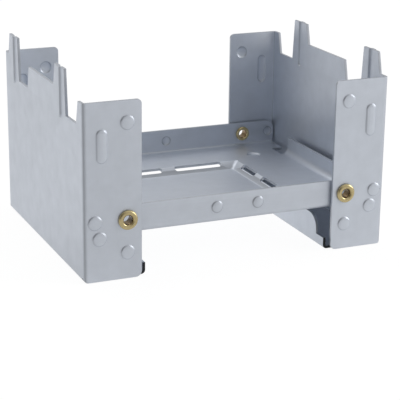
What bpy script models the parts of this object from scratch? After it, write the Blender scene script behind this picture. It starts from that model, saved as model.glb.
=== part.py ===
"""Folding solid fuel stove: a sheet steel tray hung between two folding end plates on four brass eyelets.

Metres, +Z up. The stove stands open on the ground plane with its length along X. The origin is on the
ground under its middle. Each end plate turns inwards on the eyelets, a quarter turn, until the two
plates lie flat over the tray and their prongs fit into each other's notches.
"""

import math

import bmesh
import bpy
from mathutils import Matrix, Vector

# Overall sizes
DEPTH = 0.0740
PLATE_HEIGHT = 0.0510
PIVOT_HEIGHT = 0.0172
SHEET = 0.0008

# Gaps that let the stove fold
CLOSING_GAP = 0.0002
SWING_GAP = 0.0003
WALL_GAP = 0.0007
PRONG_CLEARANCE = 0.00035
NOTCH_DEEPER = 0.00025
SEAT_GAP = 0.0003
HOLE_CLEARANCE = 0.00035

# End plate: the channel
PIVOT_TO_PLATE = 0.0128
FLANGE_BEYOND_PIVOT = 0.0042
PLATE_BEND = 0.0012
FLANGE_TOP_CORNER = 0.0013
FLANGE_FOOT_CORNER = 0.0018

# End plate: the foot lip, its upturned return and the tongue on it
LIP_RELIEF = 0.0004
RETURN_GAP = 0.0008
FOOT_STRIP = 0.0034
TONGUE_HEIGHT = 0.0089
TONGUE_INSET = 0.0046
TONGUE_RADIUS = 0.0046

# End plate: the prongs, which carry the pot
PRONG_HEIGHT = 0.00635
PRONG_TIP = 0.0082
STEEP_LEAN = 0.0005
SLOPED_LEAN = 0.0016
END_STRIP = 0.0040
PRONG_RIB_WIDTH = 0.0026
PRONG_RIB_BELOW = 0.0070

# End plate: the ribs and studs pressed outwards in its flanges
FLANGE_RIB_WIDTH = 0.0032
FLANGE_RIB_LENGTH = 0.0096
FLANGE_RIB_DROP = 0.0075
FLANGE_RIB_FROM_PLATE = 0.0054
FLANGE_STUD_RADIUS = 0.0021
STOP_STUD_DROP = 0.0062
PRESS_HEIGHT = 0.0005

# The second cooking position, with the end plates leaning inwards
LEAN_ANGLE = math.radians(30.0)

# Tray
TRAY_RISE = 0.0037
TRAY_DROP = 0.0046
TRAY_BEND = 0.0015
EAR_CORNER = 0.0030
TAB_LENGTH = 0.0380
TAB_TOP = 0.0016
TAB_BEND = 0.0030
TAB_SETBACK = 0.0015
CORNER_SLOT = 0.0074
TRAY_STUD_RADIUS = 0.0018
STUD_EDGE = 0.0004
DIMPLE_RADIUS = 0.0024
DIMPLE_FROM_END = 0.0088
DIMPLE_FROM_TAB = 0.0030

# The sunk well that holds the fuel tablets, and the air slits round it
WELL_LENGTH = 0.0488
WELL_WIDTH = 0.0356
WELL_SLOPE = 0.0024
WELL_DEPTH = 0.0020
SLIT_WIDTH = 0.0017
SLIT_OVERLAP = 0.00015
SLIT_BRIDGE = 0.0045
LONG_SLIT = 0.0160
SHORT_SLIT = 0.0098

# Eyelets
EYELET_BARREL = 0.00165
EYELET_BORE = 0.00135
EYELET_HEAD = 0.0028
EYELET_CREST = 0.0010
EYELET_RIM = 0.00015
CLINCH_RADIUS = 0.00235
CLINCH_THICKNESS = 0.0005

# Mesh fineness
BEND_STEPS = 3
CORNER_STEPS = 5
STUD_SIDES = 16
HOLE_SIDES = 24
EYELET_STEPS = 20
DOME_STEPS = 4

# How a pressed stud is shaped, and how far a tool reaches past the sheet
PRESS_TOP = 0.80
PRESS_ROOT = 0.0003
PRESS_SHRINK = 0.0002
CUT_MARGIN = 0.0020
WELD = 0.000001

# Sizes that follow from the ones above
HALF_DEPTH = DEPTH / 2
LEVEL = PLATE_HEIGHT - PIVOT_HEIGHT
FOOT = -PIVOT_HEIGHT
PIVOT_X = LEVEL + CLOSING_GAP
PLATE_X = -PIVOT_TO_PLATE
BEND_Y = HALF_DEPTH - PLATE_BEND
LIP_HALF = BEND_Y - LIP_RELIEF
RETURN_X = FLANGE_BEYOND_PIVOT + RETURN_GAP + SHEET
NOTCH_DEPTH = PRONG_HEIGHT + NOTCH_DEEPER
WALL_Y = HALF_DEPTH - SHEET - WALL_GAP
EAR_RADIUS = PIVOT_TO_PLATE - SHEET - SWING_GAP
DETENT_RADIUS = EAR_RADIUS - TRAY_STUD_RADIUS - STUD_EDGE
STOP_STUD_X = PIVOT_X - (LEVEL - STOP_STUD_DROP)
FLOOR_HALF = PIVOT_X + EAR_RADIUS - TAB_SETBACK - TAB_BEND
TAB_HALF = TAB_LENGTH / 2
SLOT_HALF = TAB_HALF + CORNER_SLOT
HOLE_RADIUS = EYELET_BARREL + HOLE_CLEARANCE

# Finishes
STEEL_COLOUR = (0.56, 0.60, 0.64)
STEEL_ROUGHNESS = 0.38
BRASS_COLOUR = (0.78, 0.62, 0.30)
BRASS_ROUGHNESS = 0.30

# The axes of an outline that is drawn across the stove or along it, as the columns of a matrix
ACROSS = Matrix(((0, 0, 1), (1, 0, 0), (0, 1, 0)))
ALONG = Matrix(((1, 0, 0), (0, 0, -1), (0, 1, 0)))


def clear_scene():
    """Empty the scene, whatever it was opened with."""
    for obj in list(bpy.data.objects):
        bpy.data.objects.remove(obj, do_unlink=True)


def new_collection(name):
    """A collection in the scene."""
    collection = bpy.data.collections.new(name)
    bpy.context.scene.collection.children.link(collection)
    return collection


def metal(name, colour, roughness):
    """A plain metal."""
    material = bpy.data.materials.new(name)
    material.use_nodes = True
    shader = material.node_tree.nodes["Principled BSDF"]
    shader.inputs["Base Color"].default_value = (*colour, 1.0)
    shader.inputs["Metallic"].default_value = 1.0
    shader.inputs["Roughness"].default_value = roughness
    return material


def arc(centre, radius, start, end, steps):
    """Points on an arc, both ends included, with its angles in radians."""
    angles = [start + (end - start) * step / steps for step in range(steps + 1)]
    return [(centre[0] + radius * math.cos(a), centre[1] + radius * math.sin(a)) for a in angles]


def quarter(centre, radius, start, end, steps):
    """An arc whose angles are counted in quarter turns."""
    return arc(centre, radius, start * math.pi / 2, end * math.pi / 2, steps)


# Tools' shapes


def box(bm, low, high):
    """A box between two corners."""
    size = Vector(high) - Vector(low)
    middle = (Vector(high) + Vector(low)) / 2
    bmesh.ops.create_cube(bm, size=1.0, matrix=Matrix.Translation(middle) @ Matrix.Diagonal((*size, 1.0)))


def cross_rod(bm, x, radius, half_length):
    """A cylinder along Y at the height of the pivots."""
    matrix = Matrix.Translation((x, 0.0, 0.0)) @ Matrix.Rotation(math.pi / 2, 4, "X")
    bmesh.ops.create_cone(
        bm, cap_ends=True, segments=HOLE_SIDES, radius1=radius, radius2=radius, depth=2 * half_length, matrix=matrix
    )


def stud(bm, points, outward, radius):
    """A tapered disc that stands on a sheet's face, with a root below it."""
    slope = radius * (1.0 - PRESS_TOP) / PRESS_HEIGHT
    middle = points[0] + outward * (PRESS_HEIGHT - PRESS_ROOT) / 2
    matrix = Matrix.Translation(middle) @ outward.to_track_quat("Z", "Y").to_matrix().to_4x4()
    made = bmesh.ops.create_cone(
        bm, cap_ends=True, segments=STUD_SIDES, radius1=radius + slope * PRESS_ROOT,
        radius2=radius * PRESS_TOP, depth=PRESS_HEIGHT + PRESS_ROOT, matrix=matrix,
    )
    return made["verts"]


def rib(bm, points, outward, radius):
    """Two studs and everything between them."""
    ends = stud(bm, points[:1], outward, radius) + stud(bm, points[1:], outward, radius)
    corners = [vert.co.copy() for vert in ends]
    bmesh.ops.delete(bm, geom=ends, context="VERTS")
    hull = bmesh.ops.convex_hull(bm, input=[bm.verts.new(corner) for corner in corners])
    inside = {item for item in hull["geom_interior"] + hull["geom_unused"] if isinstance(item, bmesh.types.BMVert)}
    bmesh.ops.delete(bm, geom=list(inside), context="VERTS")


# Open skins, which are given the sheet's thickness afterwards


def chain(bm, points):
    """A row of edges through points."""
    verts = [bm.verts.new(point) for point in points]
    return [bm.edges.new(pair) for pair in zip(verts, verts[1:])]


def pull(bm, edges, step):
    """Extrude a row of edges by a step and return the row at its new place."""
    made = bmesh.ops.extrude_edge_only(bm, edges=edges)["geom"]
    verts = {item for item in made if isinstance(item, bmesh.types.BMVert)}
    bmesh.ops.translate(bm, vec=step, verts=list(verts))
    rows = [item for item in made if isinstance(item, bmesh.types.BMEdge)]
    return [edge for edge in rows if verts.issuperset(edge.verts)]


def pull_along(bm, edges, path, side=1.0):
    """Extrude a row of edges along a path of X and Z, or along its mirror image in X."""
    for here, there in zip(path, path[1:]):
        edges = pull(bm, edges, (side * (there[0] - here[0]), 0.0, there[1] - here[1]))


def by_width(edges, test):
    """The edges of a row whose middle is as far from the centre line as the test says."""
    return [edge for edge in edges if test(abs(edge.verts[0].co.y + edge.verts[1].co.y) / 2)]


def face_outwards(bm, point, outward):
    """Turn a skin so that its face nearest a point faces a direction."""
    bmesh.ops.recalc_face_normals(bm, faces=bm.faces)
    nearest = min(bm.faces, key=lambda face: (face.calc_center_median() - Vector(point)).length)
    if nearest.normal.dot(Vector(outward)) < 0:
        bmesh.ops.reverse_faces(bm, faces=bm.faces)


class SheetPiece:
    """A piece of bent sheet. An empty on its pivot line carries it and the tools that shape it."""

    def __init__(self, name, skin, place, turn, collections, material):
        self.name = name
        self.parts, self.cutters = collections
        self.carrier = bpy.data.objects.new(name + "_carrier", None)
        self.carrier.location = place
        self.carrier.rotation_euler.z = turn
        self.parts.objects.link(self.carrier)
        self.body = self.carried(name, skin, self.parts)
        self.body.data.materials.append(material)
        sheet = self.body.modifiers.new("sheet", "SOLIDIFY")
        sheet.thickness = SHEET
        sheet.offset = -1.0
        sheet.use_even_offset = True

    def carried(self, name, bm, collection):
        """An object on the carrier that takes over a bmesh."""
        mesh = bpy.data.meshes.new(name)
        bm.to_mesh(mesh)
        bm.free()
        obj = bpy.data.objects.new(name, mesh)
        obj.parent = self.carrier
        collection.objects.link(obj)
        return obj

    def apply(self, label, bm, operation):
        """Join a tool's shape to the piece, or cut it out. Its studs may run into each other."""
        bmesh.ops.recalc_face_normals(bm, faces=bm.faces)
        tool = self.carried(self.name + "_" + label, bm, self.cutters)
        tool.hide_render = True
        tool.display_type = "WIRE"
        modifier = self.body.modifiers.new(label, "BOOLEAN")
        modifier.object = tool
        modifier.operation = operation
        modifier.use_self = True

    def press(self, features):
        """Press studs and ribs: each stands proud on the outer face and is hollow behind."""
        proud = bmesh.new()
        hollow = bmesh.new()
        for shape, places, outward, radius in features:
            outward = Vector(outward)
            points = [Vector(place) for place in places]
            shape(proud, points, outward, radius)
            shape(hollow, [point - outward * SHEET for point in points], outward, radius - PRESS_SHRINK)
        self.apply("studs", proud, "UNION")
        self.apply("hollows", hollow, "DIFFERENCE")

    def cut_outlines(self, label, outlines, axes, centre, thickness):
        """Cut out flat outlines of a thickness, centred on a point."""
        curve = bpy.data.curves.new(label, "CURVE")
        curve.dimensions = "2D"
        curve.fill_mode = "BOTH"
        curve.extrude = thickness / 2
        for outline in outlines:
            spline = curve.splines.new("POLY")
            spline.points.add(len(outline) - 1)
            for point, (u, v) in zip(spline.points, outline):
                point.co = (u, v, 0.0, 1.0)
            spline.use_cyclic_u = True
        flat = bpy.data.objects.new(label, curve)
        flat.matrix_world = Matrix.Translation(centre) @ axes.to_4x4()
        self.cutters.objects.link(flat)
        bpy.context.view_layer.update()
        bm = bmesh.new()
        bm.from_mesh(bpy.data.meshes.new_from_object(flat.evaluated_get(bpy.context.evaluated_depsgraph_get())))
        bmesh.ops.remove_doubles(bm, verts=bm.verts, dist=WELD)
        bmesh.ops.transform(bm, matrix=flat.matrix_world, verts=bm.verts)
        bpy.data.objects.remove(flat)
        self.apply(label, bm, "DIFFERENCE")


# End plate. Its pivot is the origin, X runs inwards from the plate and Y from the front end to the back.


def end_plate_skin():
    """The outer skin of the channel, of its foot lip and of the lip's upturned return."""
    start = FOOT + PLATE_BEND
    corner = quarter((PLATE_X + PLATE_BEND, -BEND_Y), PLATE_BEND, 3, 2, BEND_STEPS)
    front = [(FLANGE_BEYOND_PIVOT, -HALF_DEPTH), *corner, (PLATE_X, -LIP_HALF)]
    plan = front + [(x, -y) for x, y in reversed(front)]
    bm = bmesh.new()
    row = chain(bm, [(x, y, start) for x, y in plan])
    lip_row = by_width(row, lambda width: width < LIP_HALF / 2)
    side_row = by_width(row, lambda width: width > BEND_Y)
    pull(bm, row, (0.0, 0.0, LEVEL + PRONG_HEIGHT + CUT_MARGIN - start))
    pull(bm, side_row, (0.0, 0.0, FOOT - start))
    lip = quarter((PLATE_X + PLATE_BEND, start), PLATE_BEND, 2, 3, BEND_STEPS)
    lip += quarter((RETURN_X - PLATE_BEND, start), PLATE_BEND, 3, 4, BEND_STEPS)
    pull_along(bm, lip_row, [*lip, (RETURN_X, FOOT + TONGUE_HEIGHT)])
    face_outwards(bm, (PLATE_X, 0.0, 0.0), (-1.0, 0.0, 0.0))
    return bm


def prong_places():
    """Distances from the near end to a middle prong and an end prong: each one's tip and level line.

    The middle prong's steep side faces the end prong of the other plate, when the stove is shut, with
    a clearance between them.
    """
    end_tip = END_STRIP + SLOPED_LEAN
    end_steep = end_tip + PRONG_TIP + STEEP_LEAN
    middle_steep = end_steep + PRONG_CLEARANCE
    middle_tip = middle_steep + STEEP_LEAN
    return end_tip, end_steep, middle_steep, middle_tip


def top_outline():
    """The plate's top edge from its front end to its back end, with two prongs and two notches.

    Each notch is the shape of the other plate's prong, which is turned half round, and a clearance.
    """
    end_tip, end_steep, middle_steep, middle_tip = prong_places()
    lean_in_notch = STEEP_LEAN * NOTCH_DEPTH / PRONG_HEIGHT
    top = LEVEL + PRONG_HEIGHT
    bottom = LEVEL - NOTCH_DEPTH
    front = [
        (END_STRIP - PRONG_CLEARANCE, LEVEL),
        (end_tip - PRONG_CLEARANCE, bottom),
        (middle_steep - lean_in_notch, bottom),
        (middle_tip, top),
        (middle_tip + PRONG_TIP, top),
        (middle_tip + PRONG_TIP + SLOPED_LEAN, LEVEL),
    ]
    back = [
        (END_STRIP, LEVEL),
        (end_tip, top),
        (end_tip + PRONG_TIP, top),
        (end_steep + lean_in_notch, bottom),
        (middle_tip + PRONG_TIP + PRONG_CLEARANCE, bottom),
        (middle_tip + PRONG_TIP + SLOPED_LEAN + PRONG_CLEARANCE, LEVEL),
    ]
    return [(s - HALF_DEPTH, z) for s, z in front] + [(HALF_DEPTH - s, z) for s, z in reversed(back)]


def end_plate_features():
    """Every rib and stud pressed outwards in an end plate."""
    end_tip, _, _, middle_tip = prong_places()
    features = []
    for y in (middle_tip + PRONG_TIP / 2 - HALF_DEPTH, HALF_DEPTH - end_tip - PRONG_TIP / 2):
        ends = ((PLATE_X, y, LEVEL + PRONG_HEIGHT + CUT_MARGIN), (PLATE_X, y, LEVEL - PRONG_RIB_BELOW))
        features.append((rib, ends, (-1.0, 0.0, 0.0), PRONG_RIB_WIDTH / 2))
    rib_x = PLATE_X + FLANGE_RIB_FROM_PLATE
    rib_top = LEVEL - FLANGE_RIB_DROP - FLANGE_RIB_WIDTH / 2
    rib_bottom = LEVEL - FLANGE_RIB_DROP - FLANGE_RIB_LENGTH + FLANGE_RIB_WIDTH / 2
    studs = [(0.0, LEVEL - STOP_STUD_DROP)]
    for lean in (0.0, LEAN_ANGLE, math.pi / 2):
        studs.append((-DETENT_RADIUS * math.cos(lean), -DETENT_RADIUS * math.sin(lean)))
    for side in (-1.0, 1.0):
        outward = (0.0, side, 0.0)
        y = side * HALF_DEPTH
        features.append((rib, ((rib_x, y, rib_top), (rib_x, y, rib_bottom)), outward, FLANGE_RIB_WIDTH / 2))
        features += [(stud, ((x, y, z),), outward, FLANGE_STUD_RADIUS) for x, z in studs]
    return features


def corner_waste(corner, towards, radius):
    """What is cut off a corner to round it: the corner points towards a pair of signs."""
    (x, z), (across, up) = corner, towards
    middle = (x - across * radius, z - up * radius)
    round_edge = [(middle[0] + across * u, middle[1] + up * v) for u, v in quarter((0, 0), radius, 1, 0, CORNER_STEPS)]
    outside = (x + across * CUT_MARGIN, z + up * CUT_MARGIN)
    return [(middle[0], outside[1]), *round_edge, (outside[0], middle[1]), outside]


def tongue_corner():
    """What is cut off the front end of the return to leave its low strip and its round tongue."""
    half = LIP_HALF - TONGUE_INSET
    top = FOOT + TONGUE_HEIGHT
    strip = FOOT + FOOT_STRIP
    end = -LIP_HALF - CUT_MARGIN
    curve = quarter((TONGUE_RADIUS - half, top - TONGUE_RADIUS), TONGUE_RADIUS, 2, 1, CORNER_STEPS)
    above = top + CUT_MARGIN
    return [(end, strip), (-half, strip), *curve, (curve[-1][0], above), (end, above)]


def make_end_plate(name, x, turn, collections, material):
    """One end plate, turned about its pivot line."""
    plate = SheetPiece(name, end_plate_skin(), (x, 0.0, PIVOT_HEIGHT), turn, collections, material)
    plate.press(end_plate_features())

    side = HALF_DEPTH + CUT_MARGIN
    above = LEVEL + PRONG_HEIGHT + 3 * CUT_MARGIN
    outline = [(-side, LEVEL), *top_outline(), (side, LEVEL), (side, above), (-side, above)]
    reach = 2 * (PIVOT_TO_PLATE + CUT_MARGIN)
    plate.cut_outlines("top", [outline], ACROSS, (0.0, 0.0, 0.0), reach)

    corners = [
        corner_waste((FLANGE_BEYOND_PIVOT, LEVEL), (1.0, 1.0), FLANGE_TOP_CORNER),
        corner_waste((FLANGE_BEYOND_PIVOT, FOOT), (1.0, -1.0), FLANGE_FOOT_CORNER),
        corner_waste((PLATE_X, FOOT), (-1.0, -1.0), PLATE_BEND),
    ]
    inner = LIP_HALF + LIP_RELIEF / 2
    for label, side in (("front_flange", -1.0), ("back_flange", 1.0)):
        middle = (0.0, side * (inner + HALF_DEPTH + CUT_MARGIN) / 2, 0.0)
        plate.cut_outlines(label, corners, ALONG, middle, HALF_DEPTH + CUT_MARGIN - inner)

    corner = tongue_corner()
    outlines = [corner, [(-y, z) for y, z in corner]]
    plate.cut_outlines("tongue", outlines, ACROSS, (RETURN_X - SHEET / 2, 0.0, 0.0), SHEET + RETURN_GAP)

    holes = bmesh.new()
    cross_rod(holes, 0.0, HOLE_RADIUS, HALF_DEPTH + CUT_MARGIN)
    plate.apply("pivot_holes", holes, "DIFFERENCE")


# Tray. Its origin is the stove's middle at the height of the pivots.


def tray_skin():
    """The outer skin of the pan: its floor and sunk well, its walls and its end tabs."""
    floor = -TRAY_DROP
    bend = quarter((TRAY_BEND - WALL_Y, floor + TRAY_BEND), TRAY_BEND, 2, 3, BEND_STEPS)
    front = [(-WALL_Y, TRAY_RISE), *bend, (-SLOT_HALF, floor), (-TAB_HALF, floor), (-WELL_WIDTH / 2, floor)]
    section = front + [(-y, z) for y, z in reversed(front)]
    bm = bmesh.new()
    left = chain(bm, [(-FLOOR_HALF, y, z) for y, z in section])
    right = left
    for length in (FLOOR_HALF - WELL_LENGTH / 2, WELL_LENGTH, FLOOR_HALF - WELL_LENGTH / 2):
        right = pull(bm, right, (length, 0.0, 0.0))

    tab = quarter((FLOOR_HALF, floor + TAB_BEND), TAB_BEND, 3, 4, BEND_STEPS)
    tab.append((FLOOR_HALF + TAB_BEND, TAB_TOP))
    ear_length = PIVOT_X + EAR_RADIUS + CUT_MARGIN - FLOOR_HALF
    for side, row in ((-1.0, left), (1.0, right)):
        pull(bm, by_width(row, lambda width: width > SLOT_HALF), (side * ear_length, 0.0, 0.0))
        pull_along(bm, by_width(row, lambda width: width < TAB_HALF), tab, side)

    middles = {face: face.calc_center_median() for face in bm.faces}
    well = [face for face, at in middles.items() if abs(at.x) < WELL_LENGTH / 2 and abs(at.y) < WELL_WIDTH / 2]
    bmesh.ops.inset_region(bm, faces=well, thickness=WELL_SLOPE, use_even_offset=True)
    sunk = {vert for face in well for vert in face.verts}
    bmesh.ops.translate(bm, vec=(0.0, 0.0, -WELL_DEPTH), verts=list(sunk))
    face_outwards(bm, (0.0, 0.0, floor - WELL_DEPTH), (0.0, 0.0, -1.0))
    return bm


def tray_features():
    """Every stud pressed outwards in the walls, and every dimple pressed down in the floor."""
    features = []
    for side in (-1.0, 1.0):
        for end in (-1.0, 1.0):
            for x in (STOP_STUD_X, PIVOT_X + DETENT_RADIUS):
                features.append((stud, ((end * x, side * WALL_Y, 0.0),), (0.0, side, 0.0), TRAY_STUD_RADIUS))
            dimple = (end * (FLOOR_HALF - DIMPLE_FROM_END), side * (TAB_HALF + DIMPLE_FROM_TAB), -TRAY_DROP)
            features.append((stud, (dimple,), (0.0, 0.0, -1.0), DIMPLE_RADIUS))
    return features


def ear_end():
    """What is cut off the right ends of the walls so that the end plate can swing past them."""
    corner_middle = (EAR_RADIUS - EAR_CORNER, TRAY_RISE - EAR_CORNER)
    corner = arc(corner_middle, EAR_CORNER, math.pi / 2, math.atan2(corner_middle[1], corner_middle[0]), CORNER_STEPS)
    swing_radius = math.hypot(*corner[-1])
    swing_start = math.atan2(corner[-1][1], corner[-1][0])
    swing_end = -math.asin((TRAY_DROP + SHEET) / swing_radius)
    swing = arc((0.0, 0.0), swing_radius, swing_start, swing_end, CORNER_STEPS)
    far = EAR_RADIUS + 2 * CUT_MARGIN
    above = TRAY_RISE + CUT_MARGIN
    outline = [(corner[0][0], above), *corner, *swing[1:], (far, swing[-1][1]), (far, above)]
    return [(PIVOT_X + x, z) for x, z in outline]


def slits_and_holes():
    """The air slits round the well, and the pivot holes."""
    bm = bmesh.new()
    low = -TRAY_DROP - WELL_DEPTH - CUT_MARGIN
    high = -TRAY_DROP + CUT_MARGIN
    gap = SLIT_BRIDGE / 2
    for end in (-1.0, 1.0):
        for side in (-1.0, 1.0):
            for along, across, half_x, half_y in (
                (gap, WELL_WIDTH / 2 + SLIT_OVERLAP - SLIT_WIDTH, LONG_SLIT, SLIT_WIDTH),
                (WELL_LENGTH / 2 + SLIT_OVERLAP - SLIT_WIDTH, gap, SLIT_WIDTH, SHORT_SLIT),
            ):
                xs = sorted((end * along, end * (along + half_x)))
                ys = sorted((side * across, side * (across + half_y)))
                box(bm, (xs[0], ys[0], low), (xs[1], ys[1], high))
        cross_rod(bm, end * PIVOT_X, HOLE_RADIUS, HALF_DEPTH)
    return bm


def make_tray(collections, material):
    """The tray."""
    tray = SheetPiece("tray", tray_skin(), (0.0, 0.0, PIVOT_HEIGHT), 0.0, collections, material)
    tray.press(tray_features())
    outline = ear_end()
    tray.cut_outlines("ears", [outline, [(-x, z) for x, z in outline]], ALONG, (0.0, 0.0, 0.0), DEPTH)
    tray.apply("slits_and_holes", slits_and_holes(), "DIFFERENCE")


# Eyelets. Each one's head is on the outer face of a flange and its clinched end is inside the tray.


def dome(inner, outer, base, height):
    """Half an ellipse that rises from one radius and comes down at another."""
    middle = (inner + outer) / 2
    half = (outer - inner) / 2
    return [(middle - half * x, base + height * z) for x, z in quarter((0.0, 0.0), 1.0, 0, 2, 2 * DOME_STEPS)]


def eyelet_profile():
    """Half of the eyelet's section, down its outer side and up its bore. The flange's face is at zero."""
    seat = -(2 * SHEET + WALL_GAP + SEAT_GAP)
    rim = SEAT_GAP + EYELET_RIM
    head = dome(EYELET_BORE, EYELET_HEAD, rim, EYELET_CREST - rim)
    clinch = dome(EYELET_BORE, CLINCH_RADIUS, seat - EYELET_RIM, EYELET_RIM - CLINCH_THICKNESS)
    under_head = [(EYELET_HEAD, SEAT_GAP), (EYELET_BARREL, SEAT_GAP)]
    over_clinch = [(EYELET_BARREL, seat), (CLINCH_RADIUS, seat)]
    return [*head, *under_head, *over_clinch, *reversed(clinch)]


def eyelet_mesh(material):
    """The profile as a closed row of edges, for a Screw modifier to turn."""
    bm = bmesh.new()
    verts = [bm.verts.new((r, 0.0, z)) for r, z in eyelet_profile()]
    for pair in zip(verts, verts[1:] + verts[:1]):
        bm.edges.new(pair)
    mesh = bpy.data.meshes.new("eyelet")
    bm.to_mesh(mesh)
    bm.free()
    mesh.materials.append(material)
    return mesh


def make_eyelets(collections, material):
    """The four eyelets, on the two pivot lines."""
    mesh = eyelet_mesh(material)
    for end, x in (("left", -PIVOT_X), ("right", PIVOT_X)):
        for side, y, turn in (("front", -HALF_DEPTH, math.pi / 2), ("back", HALF_DEPTH, -math.pi / 2)):
            eyelet = bpy.data.objects.new("eyelet_" + end + "_" + side, mesh)
            eyelet.location = (x, y, PIVOT_HEIGHT)
            eyelet.rotation_euler.x = turn
            collections[0].objects.link(eyelet)
            screw = eyelet.modifiers.new("turned", "SCREW")
            screw.steps = EYELET_STEPS
            screw.render_steps = EYELET_STEPS
            screw.use_merge_vertices = True
            screw.merge_threshold = WELD
            screw.use_smooth_shade = False


def main():
    """Build the whole stove, open and standing."""
    clear_scene()
    collections = (new_collection("folding_solid_fuel_stove"), new_collection("cutters"))
    steel = metal("galvanised_steel", STEEL_COLOUR, STEEL_ROUGHNESS)
    make_tray(collections, steel)
    make_end_plate("left_end_plate", -PIVOT_X, 0.0, collections, steel)
    make_end_plate("right_end_plate", PIVOT_X, math.pi, collections, steel)
    make_eyelets(collections, metal("brass", BRASS_COLOUR, BRASS_ROUGHNESS))


main()
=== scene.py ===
"""Looks of a folding solid fuel stove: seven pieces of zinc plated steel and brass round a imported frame.

Metres, +Z up. The stove stands open on the ground with its length along X and its origin on the ground
under its middle. Every piece is folded, pressed and cut the way the real one is: a flat blank is bent
into a skin, the skin gets the sheet's thickness, and punches and dies give it studs, ribs and outlines.
"""

import logging
import math
from collections.abc import Callable, Iterator, Sequence
from contextlib import contextmanager
from dataclasses import dataclass, field, replace
from enum import Enum, IntEnum

import bmesh
import bpy
from mathutils import Matrix, Vector


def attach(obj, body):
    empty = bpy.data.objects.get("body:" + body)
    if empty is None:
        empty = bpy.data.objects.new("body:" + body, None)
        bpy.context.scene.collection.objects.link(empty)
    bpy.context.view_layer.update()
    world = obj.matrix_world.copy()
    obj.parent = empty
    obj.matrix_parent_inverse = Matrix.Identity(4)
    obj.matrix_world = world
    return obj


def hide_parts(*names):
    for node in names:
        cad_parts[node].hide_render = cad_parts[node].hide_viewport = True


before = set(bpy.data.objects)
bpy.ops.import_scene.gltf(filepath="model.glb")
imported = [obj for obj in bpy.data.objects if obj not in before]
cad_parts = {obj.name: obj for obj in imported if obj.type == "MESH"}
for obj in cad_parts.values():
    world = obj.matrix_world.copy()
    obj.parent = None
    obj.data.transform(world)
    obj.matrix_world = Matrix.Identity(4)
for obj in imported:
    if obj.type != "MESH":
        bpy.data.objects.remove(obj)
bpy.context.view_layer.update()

LOG = logging.getLogger("stove")

Test = Callable[[Vector], bool]
Point2 = tuple[float, float]
Point3 = tuple[float, float, float]
Colour = tuple[float, float, float]
Feed = float | Sequence[float] | bpy.types.NodeSocket

# How far a corner may be from a place and still count as there, and how far apart corners are merged
NEAR = 0.000002
WELD = 0.000001
QUARTER = math.pi / 2
# The signs of the front side and the back side, or of the left end and the right one
SIDES = (-1.0, 1.0)
# The attribute that tells a finish where to lay painted shade: along bends and round studs and ribs
PAINTED_SHADE = "painted_shade_mask"


class Axis(Enum):
    """The frame's axes, each as a direction."""

    X = (1.0, 0.0, 0.0)
    Y = (0.0, 1.0, 0.0)
    Z = (0.0, 0.0, 1.0)


class Part(Enum):
    """What is picked in edit mode, under the operators' own names."""

    CORNERS = "VERT"
    EDGES = "EDGE"
    FACES = "FACE"


class Cut(Enum):
    """What a tool does to a piece, under the Boolean modifier's own names."""

    JOIN = "UNION"
    REMOVE = "DIFFERENCE"


class SheetSlot(IntEnum):
    """The material slots of a piece of sheet."""

    FACES = 0
    EDGES = 1
    RETURN_ENDS = 2


class EyeletSlot(IntEnum):
    """The material slots of an eyelet."""

    OUTSIDE = 0
    BORE = 1


# The axes of an outline that is drawn across the stove or along it, as the columns of a matrix
ACROSS = Matrix(((0, 0, 1), (1, 0, 0), (0, 1, 0)))
ALONG = Matrix(((1, 0, 0), (0, 0, -1), (0, 1, 0)))


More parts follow.
